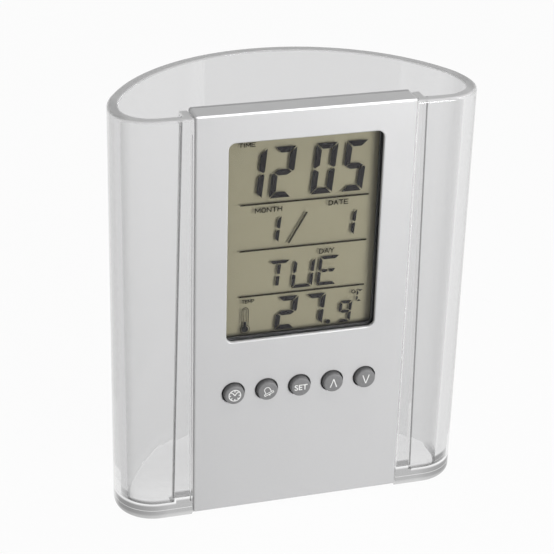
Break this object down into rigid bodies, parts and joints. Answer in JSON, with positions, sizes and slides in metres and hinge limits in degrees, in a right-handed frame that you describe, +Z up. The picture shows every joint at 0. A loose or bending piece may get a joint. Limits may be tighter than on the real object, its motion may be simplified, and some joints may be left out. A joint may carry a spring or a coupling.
{
  "type": "pen holder clock",
  "caption": "Clear D-shaped desk pen cup whose front is a silver slide-in clock with a display window and a row of round push keys.",
  "frame": {"origin": "on the surface it stands on, under the middle of the bounding box", "axes": "+Z up, out of the cup's mouth; -Y to the front, where the clock's face is; +X to the right of someone who reads the clock"},
  "size_m": [0.0918, 0.0472, 0.11],
  "materials": {
    "clear_plastic": "clear moulded plastic, polished",
    "silver_shell": "satin silver paint on plastic",
    "clear_window": "clear polished sheet",
    "display_glass": "thin clear panes",
    "display_reflector": "matt grey-green foil",
    "black_plastic": "matt black moulding",
    "grey_key": "satin grey plastic",
    "grey_rubber": "soft grey rubber",
    "green_board": "green solder mask",
    "bright_steel": "bright plated steel",
    "cell_steel": "bright nickel-plated steel",
    "brass_disc": "plain brass",
    "sensor_bead": "dark resin bead",
    "capacitor_body": "tan ceramic",
    "red_wire": "red insulation",
    "black_wire": "black insulation"
  },
  "bodies": {
    "holder": {"cup": "clear_plastic"},
    "clock": {"front_cover": "silver_shell", "window_lens": "clear_window", "lcd_holder": "black_plastic", "lcd_front_glass": "display_glass", "lcd_rear_glass": "display_glass", "lcd_reflector": "display_reflector", "zebra_strip": "grey_rubber", "rubber_keypad": "grey_rubber", "circuit_board": "green_board", "chip_cover": "black_plastic", "quartz_crystal": "bright_steel", "temperature_sensor": "sensor_bead", "chip_capacitor_left": "capacitor_body", "chip_capacitor_right": "capacitor_body", "cell_left": "cell_steel", "cell_right": "cell_steel", "contact_left": "bright_steel", "contact_right": "bright_steel", "bridge_strip": "bright_steel", "rear_cover": "silver_shell", "battery_door": "silver_shell", "piezo_buzzer": "brass_disc", "buzzer_wire_left": "red_wire", "buzzer_wire_right": "black_wire", "cover_screw_top_left": "bright_steel", "cover_screw_top_right": "bright_steel", "cover_screw_foot_left": "bright_steel", "cover_screw_foot_right": "bright_steel", "board_screw_left": "bright_steel", "board_screw_right": "bright_steel", "door_screw": "bright_steel"},
    "mode_key_button": {"mode_key": "grey_key"},
    "alarm_key_button": {"alarm_key": "grey_key"},
    "set_key_button": {"set_key": "grey_key"},
    "up_key_button": {"up_key": "grey_key"},
    "down_key_button": {"down_key": "grey_key"}
  },
  "joints": [
    {"name": "clock_slide", "type": "slide", "parent": "holder", "child": "clock", "axis": [0, 0, 1], "range_m": [0, 0.112]},
    {"name": "mode_key_press", "type": "slide", "parent": "clock", "child": "mode_key_button", "axis": [0, 1, 0], "range_m": [0, 0.0007], "stiffness_N_per_m": 1500},
    {"name": "alarm_key_press", "type": "slide", "parent": "clock", "child": "alarm_key_button", "axis": [0, 1, 0], "range_m": [0, 0.0007], "stiffness_N_per_m": 1500},
    {"name": "set_key_press", "type": "slide", "parent": "clock", "child": "set_key_button", "axis": [0, 1, 0], "range_m": [0, 0.0007], "stiffness_N_per_m": 1500},
    {"name": "up_key_press", "type": "slide", "parent": "clock", "child": "up_key_button", "axis": [0, 1, 0], "range_m": [0, 0.0007], "stiffness_N_per_m": 1500},
    {"name": "down_key_press", "type": "slide", "parent": "clock", "child": "down_key_button", "axis": [0, 1, 0], "range_m": [0, 0.0007], "stiffness_N_per_m": 1500}
  ]
}
